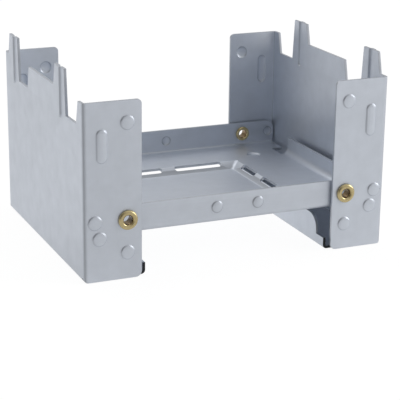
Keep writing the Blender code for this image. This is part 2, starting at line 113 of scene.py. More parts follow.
class Bench:
    """The modelling operators, used on one mesh at a time.

    Attributes:
        SEED: Width of the plane that is shrunk to the first corner of a chain of edges.
        FAR_POINT: A point that is seldom equally far from two corners, being off every plane of symmetry.
    """

    SEED = 0.001
    FAR_POINT = (0.371, 0.529, 0.217)

    @staticmethod
    def focus(*objects: bpy.types.Object) -> None:
        """Select only these objects, and make the first one active."""
        bpy.ops.object.select_all(action="DESELECT")
        for obj in objects:
            obj.select_set(True)
        bpy.context.view_layer.objects.active = objects[0]

    @staticmethod
    @contextmanager
    def editing(obj: bpy.types.Object) -> Iterator[None]:
        """Hold a mesh open in edit mode, with all of it selected at first."""
        Bench.focus(obj)
        bpy.ops.object.mode_set(mode="EDIT")
        bpy.ops.mesh.select_all(action="SELECT")
        yield
        bpy.ops.object.mode_set(mode="OBJECT")

    @staticmethod
    def pick(kind: Part, test: Test) -> None:
        """Select what lies wholly where a test says, and nothing else.

        Args:
            kind: Whether corners, edges or faces are picked.
            test: Says of a corner's place whether it belongs.
        """
        bpy.ops.mesh.select_mode(type=kind.value)
        bpy.ops.mesh.select_all(action="DESELECT")
        mesh = bpy.context.object.data
        shape = bmesh.from_edit_mesh(mesh)
        if kind is Part.CORNERS:
            found = [vert for vert in shape.verts if test(vert.co)]
        else:
            items = shape.edges if kind is Part.EDGES else shape.faces
            found = [item for item in items if all(test(vert.co) for vert in item.verts)]
        if not found:
            raise ValueError(mesh.name + ": nothing to pick")
        for item in found:
            item.select_set(True)
        shape.select_flush_mode()
        bmesh.update_edit_mesh(mesh)

    @staticmethod
    def settle(obj: bpy.types.Object, place: Matrix) -> None:
        """Put an object somewhere and move its place into its mesh."""
        obj.matrix_world = place
        Bench.focus(obj)
        bpy.ops.object.transform_apply(location=True, rotation=True, scale=True)

    @staticmethod
    def apply_all(obj: bpy.types.Object) -> None:
        """Apply an object's modifiers in their order."""
        Bench.focus(obj)
        for modifier in list(obj.modifiers):
            bpy.ops.object.modifier_apply(modifier=modifier.name)

    @staticmethod
    def trace(name: str, points: Sequence[Point3]) -> bpy.types.Object:
        """Draw a chain of edges from point to point, starting from one corner of a plane."""
        bpy.ops.object.select_all(action="DESELECT")
        bpy.ops.mesh.primitive_plane_add(size=Bench.SEED)
        obj = bpy.context.object
        obj.name = name
        with Bench.editing(obj):
            bpy.ops.mesh.select_mode(type="VERT")
            bpy.ops.mesh.merge(type="CENTER")
            bpy.ops.transform.translate(value=points[0])
            for here, there in zip(points, points[1:]):
                step = Vector(there) - Vector(here)
                bpy.ops.mesh.extrude_region_move(TRANSFORM_OT_translate={"value": step})
        return obj

    @staticmethod
    def prism(
        name: str, outline: Sequence[Point2], axes: Matrix, centre: Point3, thickness: float
    ) -> bpy.types.Object:
        """Pull a flat outline to a thickness that is centred on a point.

        Args:
            name: The new object's name.
            outline: The outline's corners in order, on its own two axes.
            axes: The outline's axes and its normal, as columns.
            centre: The point that the thickness is centred on.
            thickness: How far it reaches along the normal.

        Returns:
            The closed prism.
        """
        obj = Bench.trace(name, [(u, v, -thickness / 2) for u, v in outline])
        with Bench.editing(obj):
            bpy.ops.mesh.edge_face_add()
            bpy.ops.mesh.extrude_region_move(TRANSFORM_OT_translate={"value": (0.0, 0.0, thickness)})
            bpy.ops.mesh.select_all(action="SELECT")
            bpy.ops.mesh.normals_make_consistent(inside=False)
        Bench.settle(obj, Matrix.Translation(centre) @ axes.to_4x4())
        return obj

    @staticmethod
    def use_tool(body: bpy.types.Object, tools: Sequence[bpy.types.Object], cut: Cut) -> None:
        """Join tools to a piece, or cut them out of it, and clear them away."""
        Bench.focus(*tools)
        if len(tools) > 1:
            bpy.ops.object.join()
        modifier = body.modifiers.new("tool", "BOOLEAN")
        modifier.object = tools[0]
        modifier.operation = cut.value
        modifier.material_mode = "TRANSFER"
        Bench.apply_all(body)
        bpy.data.objects.remove(tools[0])

    @staticmethod
    def put_in_order() -> None:
        """Number what is picked by its distance from a far point, so that each run goes on in the same way.

        The cursor goes back to the origin afterwards, because primitives are added where it is.
        """
        cursor = bpy.context.scene.cursor
        cursor.location = Bench.FAR_POINT
        bpy.ops.mesh.sort_elements(type="CURSOR_DISTANCE", elements={"VERT", "EDGE", "FACE"})
        cursor.location = (0.0, 0.0, 0.0)


def arc(centre: Point2, radius: float, start: float, end: float, steps: int) -> list[Point2]:
    """Points on an arc, both ends included, with its angles in radians."""
    angles = [start + (end - start) * step / steps for step in range(steps + 1)]
    return [(centre[0] + radius * math.cos(a), centre[1] + radius * math.sin(a)) for a in angles]


def near(value: float, place: float) -> bool:
    """Whether a coordinate of a corner is at a place."""
    return abs(value - place) < NEAR


def feed(node: bpy.types.ShaderNode, inputs: dict[str | int, Feed]) -> None:
    """Set a node's inputs, or link them where another node's output is given."""
    for name, value in inputs.items():
        if isinstance(value, bpy.types.NodeSocket):
            node.id_data.links.new(value, node.inputs[name])
        else:
            node.inputs[name].default_value = value


def add_node(
    tree: bpy.types.NodeTree, kind: str, output: str, inputs: dict[str | int, Feed], **options: str
) -> bpy.types.NodeSocket:
    """Add a node to a material.

    Args:
        tree: The material's nodes.
        kind: The kind of node.
        output: Which of its outputs is used.
        inputs: What goes into it.
        **options: Its own options, which come first because they change its inputs.

    Returns:
        The output.
    """
    node = tree.nodes.new("ShaderNode" + kind)
    for option, value in options.items():
        setattr(node, option, value)
    feed(node, inputs)
    return node.outputs[output]


@dataclass(frozen=True)
class Layout:
    """Sizes that the pieces share. A place that is worked out here counts its height from the pivots.

    Attributes:
        depth: Over the flanges, from front to back.
        plate_height: From the ground to the level top edges.
        pivot_height: From the ground to the pivots.
        sheet: Thickness of the sheet.
        closing_gap: From the stove's middle to a level top edge when the stove is shut.
        swing_gap: Between a wall's round end and the end plate that swings past it.
        wall_gap: Between a tray wall and the flange outside it.
        pivot_to_plate: From a pivot to its end plate's outer face.
        tray_stud_radius: Radius of the studs in the tray's walls.
        stud_edge: Strip of wall between a stud and the wall's round end.
        stop_stud_drop: From a level top edge down to the stop stud.
        hole_radius: Radius of the pivot holes.
        cut_margin: How far a blank or a cutting tool reaches past the finished shape.
    """

    depth: float = 0.0740
    plate_height: float = 0.0510
    pivot_height: float = 0.0172
    sheet: float = 0.0008
    closing_gap: float = 0.0002
    swing_gap: float = 0.0003
    wall_gap: float = 0.0007
    pivot_to_plate: float = 0.0128
    tray_stud_radius: float = 0.0018
    stud_edge: float = 0.0004
    stop_stud_drop: float = 0.0062
    hole_radius: float = 0.0020
    cut_margin: float = 0.0020

    @property
    def half_depth(self) -> float:
        """From the middle to the outer face of a flange."""
        return self.depth / 2

    @property
    def level(self) -> float:
        """Height of the level top edges."""
        return self.plate_height - self.pivot_height

    @property
    def foot(self) -> float:
        """Height of the ground."""
        return -self.pivot_height

    @property
    def pivot_x(self) -> float:
        """From the middle to a pivot line."""
        return self.level + self.closing_gap

    @property
    def wall_y(self) -> float:
        """From the middle to the outer face of a tray wall."""
        return self.half_depth - self.sheet - self.wall_gap

    @property
    def ear_radius(self) -> float:
        """From a pivot to the end of a tray wall, which the end plate swings past."""
        return self.pivot_to_plate - self.sheet - self.swing_gap

    @property
    def detent_radius(self) -> float:
        """From a pivot to the studs that click into each other."""
        return self.ear_radius - self.tray_stud_radius - self.stud_edge


@dataclass(frozen=True)
class Punch:
    """How a stud or a rib rises from the sheet: a smooth shoulder, then a crown over its top.

    Attributes:
        height: Height of the shoulder.
        shoulder: Width of the shoulder, from its foot to its top.
        crown: How much higher the middle is than the shoulder.
        rings: Rings of faces on the shoulder.
        crown_rings: Rings of faces on the crown.
        sides: Corners of the outline.
        flare: How much wider the shoulder's foot is than the stud or rib.
        root: How far the shape reaches into the sheet.
        sink: How far the foot lies under the sheet's face, so that no two faces share a plane.
    """

    height: float
    shoulder: float
    crown: float = 0.0
    rings: int = 6
    crown_rings: int = 0
    sides: int = 48
    flare: float = 0.00012
    root: float = 0.0003
    sink: float = 0.00001

    def steps(self, radius: float) -> list[Point2]:
        """Each ring's width and rise, from the foot inwards."""
        path = []
        for ring in range(self.rings + 1):
            t = ring / self.rings
            path.append((self.shoulder * t, self.height * t * t * (3 - 2 * t)))
        inside = radius + self.flare - self.shoulder
        for ring in range(1, self.crown_rings + 1):
            t = ring / (self.crown_rings + 1)
            path.append((self.shoulder + inside * t, self.height + self.crown * t * (2 - t)))
        return [(there[0] - here[0], there[1] - here[1]) for here, there in zip(path, path[1:])]

    def make(self, ends: Sequence[Point3], outward: Point3, radius: float) -> bpy.types.Object:
        """The punch's own shape, standing on a sheet's face with a root below it.

        Args:
            ends: One point for a stud, or the middles of a rib's two round ends.
            outward: The direction that it rises in.
            radius: Radius of the stud or of the rib's ends.

        Returns:
            The closed shape.
        """
        bpy.ops.object.select_all(action="DESELECT")
        bpy.ops.mesh.primitive_circle_add(
            vertices=self.sides, radius=radius + self.flare, fill_type="NGON",
            rotation=(0.0, 0.0, math.pi / self.sides),
        )
        obj = bpy.context.object
        obj.name = "punch"
        span = Vector(ends[-1]) - Vector(ends[0])
        Bench.settle(obj, obj.matrix_world.copy())
        with Bench.editing(obj):
            for side in SIDES:
                Bench.pick(Part.CORNERS, lambda at, side=side: at.x * side > 0)
                bpy.ops.transform.translate(value=(side * span.length / 2, 0.0, 0.0))
            bpy.ops.mesh.select_all(action="SELECT")
            bpy.ops.transform.translate(value=(0.0, 0.0, -self.root))
            root = (0.0, 0.0, self.root - self.sink)
            bpy.ops.mesh.extrude_region_move(TRANSFORM_OT_translate={"value": root})
            bpy.ops.mesh.select_all(action="SELECT")
            bpy.ops.mesh.normals_make_consistent(inside=False)
            Bench.pick(Part.FACES, lambda at: at.z > -self.root / 2)
            for width, rise in self.steps(radius):
                bpy.ops.mesh.inset(thickness=width, depth=rise, use_even_offset=True)
        up = Vector(outward)
        along = span.normalized() if span.length else up.orthogonal().normalized()
        turn = Matrix((along, up.cross(along), up)).transposed().to_4x4()
        Bench.settle(obj, Matrix.Translation((Vector(ends[0]) + Vector(ends[-1])) / 2) @ turn)
        return obj


@dataclass(frozen=True)
class Pressing:
    """One stud or rib pressed outwards in a sheet.

    Attributes:
        ends: A stud's middle on the outer face, or the middles of a rib's two round ends.
        outward: The direction that it is pressed in.
        radius: Radius of the stud or of the rib's ends.
        punch: How it rises.
        shrink: How much smaller its hollow back is.
    """

    ends: tuple[Point3, ...]
    outward: Point3
    radius: float
    punch: Punch
    shrink: float = 0.0002

    def on_outer_face(self) -> bpy.types.Object:
        """What stands proud of the sheet."""
        return self.punch.make(self.ends, self.outward, self.radius)

    def on_inner_face(self, sheet: float) -> bpy.types.Object:
        """What is hollow behind it."""
        inwards = Vector(self.outward) * -sheet
        ends = [tuple(Vector(end) + inwards) for end in self.ends]
        return self.punch.make(ends, self.outward, self.radius - self.shrink)


@dataclass(frozen=True)
class Metal:
    """A metal finish with grain, streaks, cloudy patches and painted shade at bends and studs.

    Attributes:
        name: The material's name.
        colour: Its colour where the patches are light.
        shade: Its colour where they are dark.
        roughness: Its middle roughness.
        bare: How far it is bare metal, and not the dull film that grows on zinc.
        spread: How far roughness varies each way.
        streaks: How many streaks to the metre on each axis.
        clouds: How many cloudy patches to the metre.
        grain: How many grains to the metre.
        relief: Height of the grain.
        streak_share: How much of the colour's variation is streaks.
        painted_shade_level: How much of the colour is left where the painted shade is fullest, at the
            sharpest turns of bends and studs.
        noise_range: Where the noise is all shade, and where it is all colour.
        streak_detail: How finely the noise of the streaks is broken up.
        cloud_detail: The same for the patches.
        grain_detail: The same for the grain.
    """

    name: str
    colour: Colour
    shade: Colour
    roughness: float
    bare: float = 1.0
    spread: float = 0.04
    streaks: Point3 = (700.0, 700.0, 45.0)
    clouds: float = 240.0
    grain: float = 3500.0
    relief: float = 0.000006
    streak_share: float = 0.15
    painted_shade_level: float = 0.3
    noise_range: Point2 = (0.3, 0.7)
    streak_detail: float = 3.0
    cloud_detail: float = 6.0
    grain_detail: float = 2.0

    def make(self) -> bpy.types.Material:
        """The material with its nodes."""
        material = bpy.data.materials.new(self.name)
        material.use_nodes = True
        tree = material.node_tree
        place = add_node(tree, "TexCoord", "Object", {})
        stretched = add_node(tree, "Mapping", "Vector", {"Vector": place, "Scale": self.streaks})
        streaks = self.noise(tree, stretched, 1.0, self.streak_detail)
        clouds = self.noise(tree, place, self.clouds, self.cloud_detail)
        grain = self.noise(tree, place, self.grain, self.grain_detail)

        noise = {"Factor": self.streak_share, "A": clouds, "B": streaks}
        low, high = self.noise_range
        stretch = {"Value": add_node(tree, "Mix", "Result", noise), "From Min": low, "From Max": high}
        spread = add_node(tree, "MapRange", "Result", stretch)
        tints = {"Factor": spread, "A": (*self.shade, 1.0), "B": (*self.colour, 1.0)}
        tint = add_node(tree, "Mix", "Result", tints, data_type="RGBA")
        # Painted shade: the colour is multiplied towards a grey where the piece marks its bends and round
        # its studs and ribs
        painted_shade_mask = add_node(tree, "Attribute", "Fac", {}, attribute_name=PAINTED_SHADE)
        painted_shade_inputs = {"Factor": painted_shade_mask, "A": tint, "B": (self.painted_shade_level, self.painted_shade_level, self.painted_shade_level, 1.0)}
        dull = add_node(tree, "Mix", "Result", painted_shade_inputs, data_type="RGBA", blend_type="MULTIPLY")
        rougher, smoother = self.roughness + self.spread, self.roughness - self.spread
        roughs = {"Value": spread, "To Min": rougher, "To Max": smoother}
        rough = add_node(tree, "MapRange", "Result", roughs)
        bump = add_node(tree, "Bump", "Normal", {"Height": grain, "Distance": self.relief})
        looks = {"Metallic": self.bare, "Base Color": dull, "Roughness": rough, "Normal": bump}
        feed(tree.nodes["Principled BSDF"], looks)
        return material

    @staticmethod
    def noise(
        tree: bpy.types.NodeTree, place: bpy.types.NodeSocket, scale: float, detail: float
    ) -> bpy.types.NodeSocket:
        """A noise of so many features to the unit of a coordinate."""
        return add_node(tree, "TexNoise", "Fac", {"Vector": place, "Scale": scale, "Detail": detail})


@dataclass(frozen=True)
class Finishes:
    """Every finish of the stove. The sheet was rolled up the end plates and along the tray."""

    upright_steel: Metal = Metal(
        "zinc_steel_upright", (0.745, 0.790, 0.868), (0.700, 0.742, 0.812), roughness=0.42, bare=0.74
    )
    tray_steel: Metal = replace(upright_steel, name="zinc_steel_tray", streaks=(45.0, 700.0, 700.0))
    sheared_steel: Metal = Metal(
        "sheared_edge", (0.66, 0.69, 0.74), (0.55, 0.58, 0.63), roughness=0.45,
        streaks=(1500.0, 1500.0, 1500.0), grain=6000.0, painted_shade_level=1.0,
    )
    # Painted shadow: the return's sheared ends are nearly unlit dark grey for the shade in the channel
    # behind them
    painted_shadow_edge: Metal = replace(
        sheared_steel, name="painted_shadow_edge",
        colour=(0.050, 0.052, 0.058), shade=(0.030, 0.032, 0.036), roughness=0.50,
    )
    brass: Metal = Metal(
        "rolled_brass", (0.78, 0.65, 0.36), (0.64, 0.52, 0.27), roughness=0.27,
        streaks=(2000.0, 2000.0, 2000.0), clouds=500.0,
    )
    # Painted shade: the bore is dark brown for the shade inside the hole
    bore_shade_brass: Metal = replace(
        brass, name="bore_painted_shade",
        colour=(0.30, 0.21, 0.11), shade=(0.21, 0.14, 0.07), roughness=0.25, clouds=700.0,
    )


@dataclass
class SheetPiece:
    """A piece of bent sheet: an open skin that is folded, thickened, pressed, cut and smoothed.

    Attributes:
        name: The finished piece's name.
        layout: The shared sizes.
        steel: The finish of its faces.
        edge: The finish of its sheared edges.
        bend_steps: Facets of a bend.
        corner_steps: Facets of a round corner.
        hole_steps: Facets of a pivot hole.
        edge_break: Width of the break along a sharp edge.
        break_steps: Facets of that break.
        flat_angle: Faces that turn by no more than this are made one.
        sharp_angle: An edge that turns by more than this is broken.
        smooth_angle: Faces that turn by no more than this are shaded as one.
        body: The piece as it takes shape.
    """

    name: str
    layout: Layout
    steel: bpy.types.Material
    edge: bpy.types.Material
    bend_steps: int = 8
    corner_steps: int = 8
    hole_steps: int = 64
    edge_break: float = 0.00007
    break_steps: int = 2
    flat_angle: float = math.radians(0.05)
    sharp_angle: float = math.radians(50.0)
    smooth_angle: float = math.radians(35.0)
    body: bpy.types.Object = field(init=False, default=None)

    def lay_blank(self, axes: Matrix, centre: Point3, width: float, height: float) -> None:
        """Start with a flat blank of a width and a height on two axes."""
        bpy.ops.object.select_all(action="DESELECT")
        bpy.ops.mesh.primitive_plane_add(size=1.0)
        self.body = bpy.context.object
        self.body.name = self.name
        scale = Matrix.Diagonal((width, height, 1.0, 1.0))
        Bench.settle(self.body, Matrix.Translation(centre) @ axes.to_4x4() @ scale)

    def split(self, axis: Axis, places: Sequence[float]) -> None:
        """Cut the blank into strips at places along an axis."""
        with Bench.editing(self.body):
            for place in places:
                bpy.ops.mesh.select_all(action="SELECT")
                bpy.ops.mesh.bisect(plane_co=Vector(axis.value) * place, plane_no=axis.value)

    def bend(self, row: Test, centre: Point3, axis: Axis, angle: float) -> None:
        """Bend a row of edges round an axis, which makes the curved strip."""
        with Bench.editing(self.body):
            Bench.pick(Part.EDGES, row)
            bpy.ops.mesh.spin(steps=self.bend_steps, angle=-angle, center=centre, axis=axis.value)

    def pull(self, row: Test, step: Point3) -> None:
        """Pull a row of edges straight on, which makes a flat strip."""
        with Bench.editing(self.body):
            Bench.pick(Part.EDGES, row)
            bpy.ops.mesh.extrude_region_move(TRANSFORM_OT_translate={"value": step})

    def thicken(self, place: Point3, outward: Point3) -> None:
        """Turn the skin's faces outwards and give it the sheet's thickness behind them.

        Args:
            place: A point that lies near one of the skin's faces.
            outward: The direction that this face looks in.
        """
        with Bench.editing(self.body):
            bpy.ops.mesh.remove_doubles(threshold=WELD)
            bpy.ops.mesh.normals_make_consistent(inside=False)
            shape = bmesh.from_edit_mesh(self.body.data)
            start = Vector(place)
            nearest = min(shape.faces, key=lambda face: (face.calc_center_median() - start).length)
            if nearest.normal.dot(Vector(outward)) < 0:
                bpy.ops.mesh.flip_normals()
        self.body.data.materials.append(self.steel)
        self.body.data.materials.append(self.edge)
        sheet = self.body.modifiers.new("sheet", "SOLIDIFY")
        sheet.thickness = self.layout.sheet
        sheet.offset = -1.0
        sheet.use_even_offset = True
        sheet.material_offset_rim = SheetSlot.EDGES
        Bench.apply_all(self.body)

    def press(self, pressings: Sequence[Pressing]) -> None:
        """Press studs and ribs: each stands proud on the outer face and is hollow behind."""
        proud = [pressing.on_outer_face() for pressing in pressings]
        hollow = [pressing.on_inner_face(self.layout.sheet) for pressing in pressings]
        for tools, cut in ((proud, Cut.JOIN), (hollow, Cut.REMOVE)):
            for tool in tools:
                tool.data.materials.append(self.steel)
            Bench.use_tool(self.body, tools, cut)

    def shear(self, tools: Sequence[bpy.types.Object]) -> None:
        """Cut tools out of the sheet and leave bare edges."""
        for tool in tools:
            tool.data.materials.append(self.edge)
        Bench.use_tool(self.body, tools, Cut.REMOVE)

    def drill(self, x: float, reach: float) -> None:
        """Punch the pivot holes of both sides with one round punch."""
        bpy.ops.object.select_all(action="DESELECT")
        bpy.ops.mesh.primitive_cylinder_add(
            vertices=self.hole_steps, radius=self.layout.hole_radius, depth=2 * reach,
            location=(x, 0.0, 0.0), rotation=(QUARTER, 0.0, 0.0),
        )
        punch = bpy.context.object
        Bench.settle(punch, punch.matrix_world.copy())
        self.shear([punch])

    def smooth(self) -> None:
        """Break the sharp edges, and shade the bends and studs smooth."""
        with Bench.editing(self.body):
            bpy.ops.mesh.remove_doubles(threshold=WELD)
            bpy.ops.mesh.dissolve_limited(angle_limit=self.flat_angle, delimit={"MATERIAL"})
        edges = self.body.modifiers.new("edges", "BEVEL")
        edges.width = self.edge_break
        edges.segments = self.break_steps
        edges.limit_method = "ANGLE"
        edges.angle_limit = self.sharp_angle
        edges.use_clamp_overlap = False
        edges.material = SheetSlot.EDGES
        Bench.apply_all(self.body)
        bpy.ops.object.shade_smooth_by_angle(angle=self.smooth_angle)
        normals = self.body.modifiers.new("normals", "WEIGHTED_NORMAL")
        normals.keep_sharp = True
        Bench.apply_all(self.body)

    def mark_painted_shade(self, share: Callable[[Vector], float], full_turn: float = 0.26) -> None:
        """Record at each corner how much painted shade the finish lays there, by how far the sheet turns at
        bends, studs and ribs.

        Args:
            share: Says of a corner's place how much of that painted shade it takes.
            full_turn: How far one less the normal's largest part may go before it counts in full.
        """
        mesh = self.body.data
        normals: dict[int, Vector] = {}
        # The sheared edges are left out: only the bent and drawn faces count
        for face in mesh.polygons:
            if face.material_index == SheetSlot.FACES:
                for corner in face.vertices:
                    normals[corner] = normals.get(corner, Vector()) + face.normal
        painted_shade_mask = mesh.attributes.new(PAINTED_SHADE, "FLOAT", "POINT")
        for corner, normal in normals.items():
            turn = 1.0 - max(abs(part) for part in normal.normalized())
            painted_shade_mask.data[corner].value = min(1.0, turn / full_turn) * share(mesh.vertices[corner].co)


@dataclass(kw_only=True)
class EndPlate(SheetPiece):
    """An end plate. Its pivot is the origin, X runs inwards and Y from its front end to its back end."""

    # The painted shadow on the sheared ends of the foot lip and its return
    return_end_shadow: bpy.types.Material
    plate_bend: float = 0.0012
    flange_beyond_pivot: float = 0.0042
    flange_top_corner: float = 0.0013
    flange_foot_corner: float = 0.0018
    lip_relief: float = 0.0004
    return_gap: float = 0.0008
    foot_strip: float = 0.0034
    tongue_height: float = 0.0089
    tongue_inset: float = 0.0046
    tongue_radius: float = 0.0046
    prong_height: float = 0.00635
    prong_tip: float = 0.0082
    steep_lean: float = 0.0005
    sloped_lean: float = 0.0016
    end_strip: float = 0.0040
    prong_clearance: float = 0.00035
    notch_deeper: float = 0.00025
    prong_rib_width: float = 0.0026
    prong_rib_below: float = 0.0070
    flange_rib_width: float = 0.0032
    flange_rib_length: float = 0.0096
    flange_rib_drop: float = 0.0075
    flange_rib_from_plate: float = 0.0054
    stud_radius: float = 0.0021
    lean_angle: float = math.radians(30.0)
    prong_punch: Punch = Punch(height=0.0005, shoulder=0.00052)
    flange_punch: Punch = Punch(height=0.00035, shoulder=0.00052, crown=0.00015, crown_rings=4)
    # Painted shade along the plate's bends and foot, and round its studs and ribs
    bend_shade_share: float = 0.55
    stud_shade_share: float = 0.3

    @property
    def plate_x(self) -> float:
        """Where the plate's outer face is."""
        return -self.layout.pivot_to_plate

    @property
    def bend_y(self) -> float:
        """Where the plate ends and its bends start."""
        return self.layout.half_depth - self.plate_bend

    @property
    def lip_half(self) -> float:
        """Half the foot lip's length."""
        return self.bend_y - self.lip_relief

    @property
    def return_x(self) -> float:
        """Where the outer face of the upturned return is."""
        return self.flange_beyond_pivot + self.return_gap + self.layout.sheet

    @property
    def bend_z(self) -> float:
        """Where the plate ends and the foot's bend starts."""
        return self.layout.foot + self.plate_bend

    def fold(self) -> None:
        """Fold the blank: two flanges, the foot lip and the lip's upturned return."""
        size = self.layout
        top = size.level + self.prong_height + size.cut_margin
        middle = (self.plate_x, 0.0, (top + self.bend_z) / 2)
        self.lay_blank(ACROSS, middle, 2 * self.bend_y, top - self.bend_z)
        self.split(Axis.Y, (-self.lip_half, self.lip_half))
        inner = self.plate_x + self.plate_bend
        for side in SIDES:
            edge = side * self.bend_y
            self.bend(lambda at: near(at.y, edge), (inner, edge, 0.0), Axis.Z, -side * QUARTER)
            face = side * size.half_depth
            self.pull(lambda at: near(at.y, face), (self.flange_beyond_pivot - inner, 0.0, 0.0))
        on_flange = self.bend_y - NEAR
        self.pull(
            lambda at: near(at.z, self.bend_z) and abs(at.y) > on_flange, (0.0, 0.0, -self.plate_bend)
        )
        on_lip = self.lip_half + NEAR
        self.bend(
            lambda at: near(at.z, self.bend_z) and abs(at.y) < on_lip and at.x < inner,
            (inner, 0.0, self.bend_z), Axis.Y, -QUARTER,
        )
        turn = self.return_x - self.plate_bend
        self.pull(lambda at: near(at.x, inner) and abs(at.y) < on_lip, (turn - inner, 0.0, 0.0))
        self.bend(
            lambda at: near(at.x, turn) and abs(at.y) < on_lip and at.z < self.bend_z,
            (turn, 0.0, self.bend_z), Axis.Y, -QUARTER,
        )
        rise = size.foot + self.tongue_height - self.bend_z
        self.pull(lambda at: near(at.x, self.return_x) and abs(at.y) < on_lip, (0.0, 0.0, rise))
        self.thicken((self.plate_x, 0.0, 0.0), (-1.0, 0.0, 0.0))

    def prong_places(self) -> tuple[float, float, float, float]:
        """From the near end to an end prong and a middle prong: each one's tip and level line."""
        end_tip = self.end_strip + self.sloped_lean
        end_steep = end_tip + self.prong_tip + self.steep_lean
        middle_steep = end_steep + self.prong_clearance
        return end_tip, end_steep, middle_steep, middle_steep + self.steep_lean

    def top_outline(self) -> list[Point2]:
        """The plate's top edge from its front end to its back end, with two prongs and two notches."""
        size = self.layout
        end_tip, end_steep, middle_steep, middle_tip = self.prong_places()
        notch_depth = self.prong_height + self.notch_deeper
        lean = self.steep_lean * notch_depth / self.prong_height
        top, level, bottom = size.level + self.prong_height, size.level, size.level - notch_depth
        gap = self.prong_clearance
        middle_end = middle_tip + self.prong_tip
        front = [
            (self.end_strip - gap, level),
            (end_tip - gap, bottom),
            (middle_steep - lean, bottom),
            (middle_tip, top),
            (middle_end, top),
            (middle_end + self.sloped_lean, level),
        ]
        back = [
            (self.end_strip, level),
            (end_tip, top),
            (end_tip + self.prong_tip, top),
            (end_steep + lean, bottom),
            (middle_end + gap, bottom),
            (middle_end + self.sloped_lean + gap, level),
        ]
        half = size.half_depth
        return [(s - half, z) for s, z in front] + [(half - s, z) for s, z in reversed(back)]

    def pressings(self) -> list[Pressing]:
        """Every rib and stud pressed outwards."""
        size = self.layout
        end_tip, _, _, middle_tip = self.prong_places()
        made = []
        half_tip = self.prong_tip / 2
        for y in (middle_tip + half_tip - size.half_depth, size.half_depth - end_tip - half_tip):
            ends = tuple(
                (self.plate_x, y, size.level + rise)
                for rise in (self.prong_height + size.cut_margin, -self.prong_rib_below)
            )
            made.append(Pressing(ends, (-1.0, 0.0, 0.0), self.prong_rib_width / 2, self.prong_punch))
        radius = self.flange_rib_width / 2
        rib_x = self.plate_x + self.flange_rib_from_plate
        rib_top = size.level - self.flange_rib_drop
        rib_z = (rib_top - radius, rib_top - self.flange_rib_length + radius)
        # The stop stud, then the three round the pivot that click upright, leaning out and shut
        studs = [(0.0, size.level - size.stop_stud_drop)]
        studs += arc((0.0, 0.0), size.detent_radius, math.pi, math.pi + self.lean_angle, 1)
        studs.append((0.0, -size.detent_radius))
        for side in SIDES:
            outward = (0.0, side, 0.0)
            y = side * size.half_depth
            rib = tuple((rib_x, y, z) for z in rib_z)
            made.append(Pressing(rib, outward, radius, self.flange_punch))
            for x, z in studs:
                made.append(Pressing(((x, y, z),), outward, self.stud_radius, self.flange_punch))
        return made

    def corner_waste(self, corner: Point2, towards: Point2, radius: float) -> list[Point2]:
        """What is cut off a corner to round it: the corner points towards a pair of signs."""
        margin = self.layout.cut_margin
        (x, z), (across, up) = corner, towards
        middle = (x - across * radius, z - up * radius)
        turn = arc((0.0, 0.0), radius, QUARTER, 0.0, self.corner_steps)
        edge = [(middle[0] + across * u, middle[1] + up * v) for u, v in turn]
        outside = (x + across * margin, z + up * margin)
        return [(middle[0], outside[1]), *edge, (outside[0], middle[1]), outside]

    def tongue_corner(self) -> list[Point2]:
        """What is cut off the front end of the return to leave its low strip and its round tongue."""
        size = self.layout
        half = self.lip_half - self.tongue_inset
        top = size.foot + self.tongue_height
        strip = size.foot + self.foot_strip
        end = -self.lip_half - size.cut_margin
        middle = (self.tongue_radius - half, top - self.tongue_radius)
        curve = arc(middle, self.tongue_radius, math.pi, QUARTER, self.corner_steps)
        above = top + size.cut_margin
        return [(end, strip), (-half, strip), *curve, (curve[-1][0], above), (end, above)]

    def trim(self) -> None:
        """Cut the top edge, the flanges' round corners, the tongue and the pivot holes."""
        size = self.layout
        side = size.half_depth + size.cut_margin
        # The ribs' round ends stand above the blank, and the waste takes them in
        above = size.level + self.prong_height + 3 * size.cut_margin
        ends = [(side, size.level), (side, above), (-side, above)]
        outline = [(-side, size.level), *self.top_outline(), *ends]
        reach = 2 * (size.pivot_to_plate + size.cut_margin)
        self.shear([Bench.prism("top", outline, ACROSS, (0.0, 0.0, 0.0), reach)])

        corners = [
            self.corner_waste((self.flange_beyond_pivot, size.level), (1.0, 1.0), self.flange_top_corner),
            self.corner_waste((self.flange_beyond_pivot, size.foot), (1.0, -1.0), self.flange_foot_corner),
            self.corner_waste((self.plate_x, size.foot), (-1.0, -1.0), self.plate_bend),
        ]
        inner = self.lip_half + self.lip_relief / 2
        width = size.half_depth + size.cut_margin - inner
        for sign in SIDES:
            centre = (0.0, sign * (inner + width / 2), 0.0)
            self.shear([Bench.prism("corner", corner, ALONG, centre, width) for corner in corners])

        corner = self.tongue_corner()
        centre = (self.return_x - size.sheet / 2, 0.0, 0.0)
        outlines = (corner, [(-y, z) for y, z in corner])
        reach = size.sheet + self.return_gap
        self.shear([Bench.prism("tongue", outline, ACROSS, centre, reach) for outline in outlines])
        self.drill(0.0, size.half_depth + size.cut_margin)

    def build(self) -> bpy.types.Object:
        """The whole plate, with its pivot at the origin."""
        self.fold()
        self.press(self.pressings())
        self.trim()
        self.smooth()
        self.paint_return_end_shadows()
        self.mark_painted_shade(self.painted_shade_share)
        return self.body

    def paint_return_end_shadows(self) -> None:
        """Paint the sheared ends of the foot lip and its upturned return dark, a painted shadow for the
        shade in the channel behind them.
        """
        inner = self.lip_half - self.edge_break - NEAR
        outer = self.lip_half + NEAR
        self.body.data.materials.append(self.return_end_shadow)
        self.body.active_material_index = SheetSlot.RETURN_ENDS
        with Bench.editing(self.body):
            for side in SIDES:
                Bench.pick(Part.FACES, lambda at, side=side: inner < side * at.y < outer)
                bpy.ops.object.material_slot_assign()

    def painted_shade_share(self, at: Vector) -> float:
        """How much painted shade the finish takes at a place: more along the plate's bends and foot, less
        elsewhere round studs and ribs.
        """
        beyond = abs(at.y) > self.bend_y or at.z < self.bend_z
        return self.bend_shade_share if beyond and at.x < self.plate_x + self.plate_bend else self.stud_shade_share


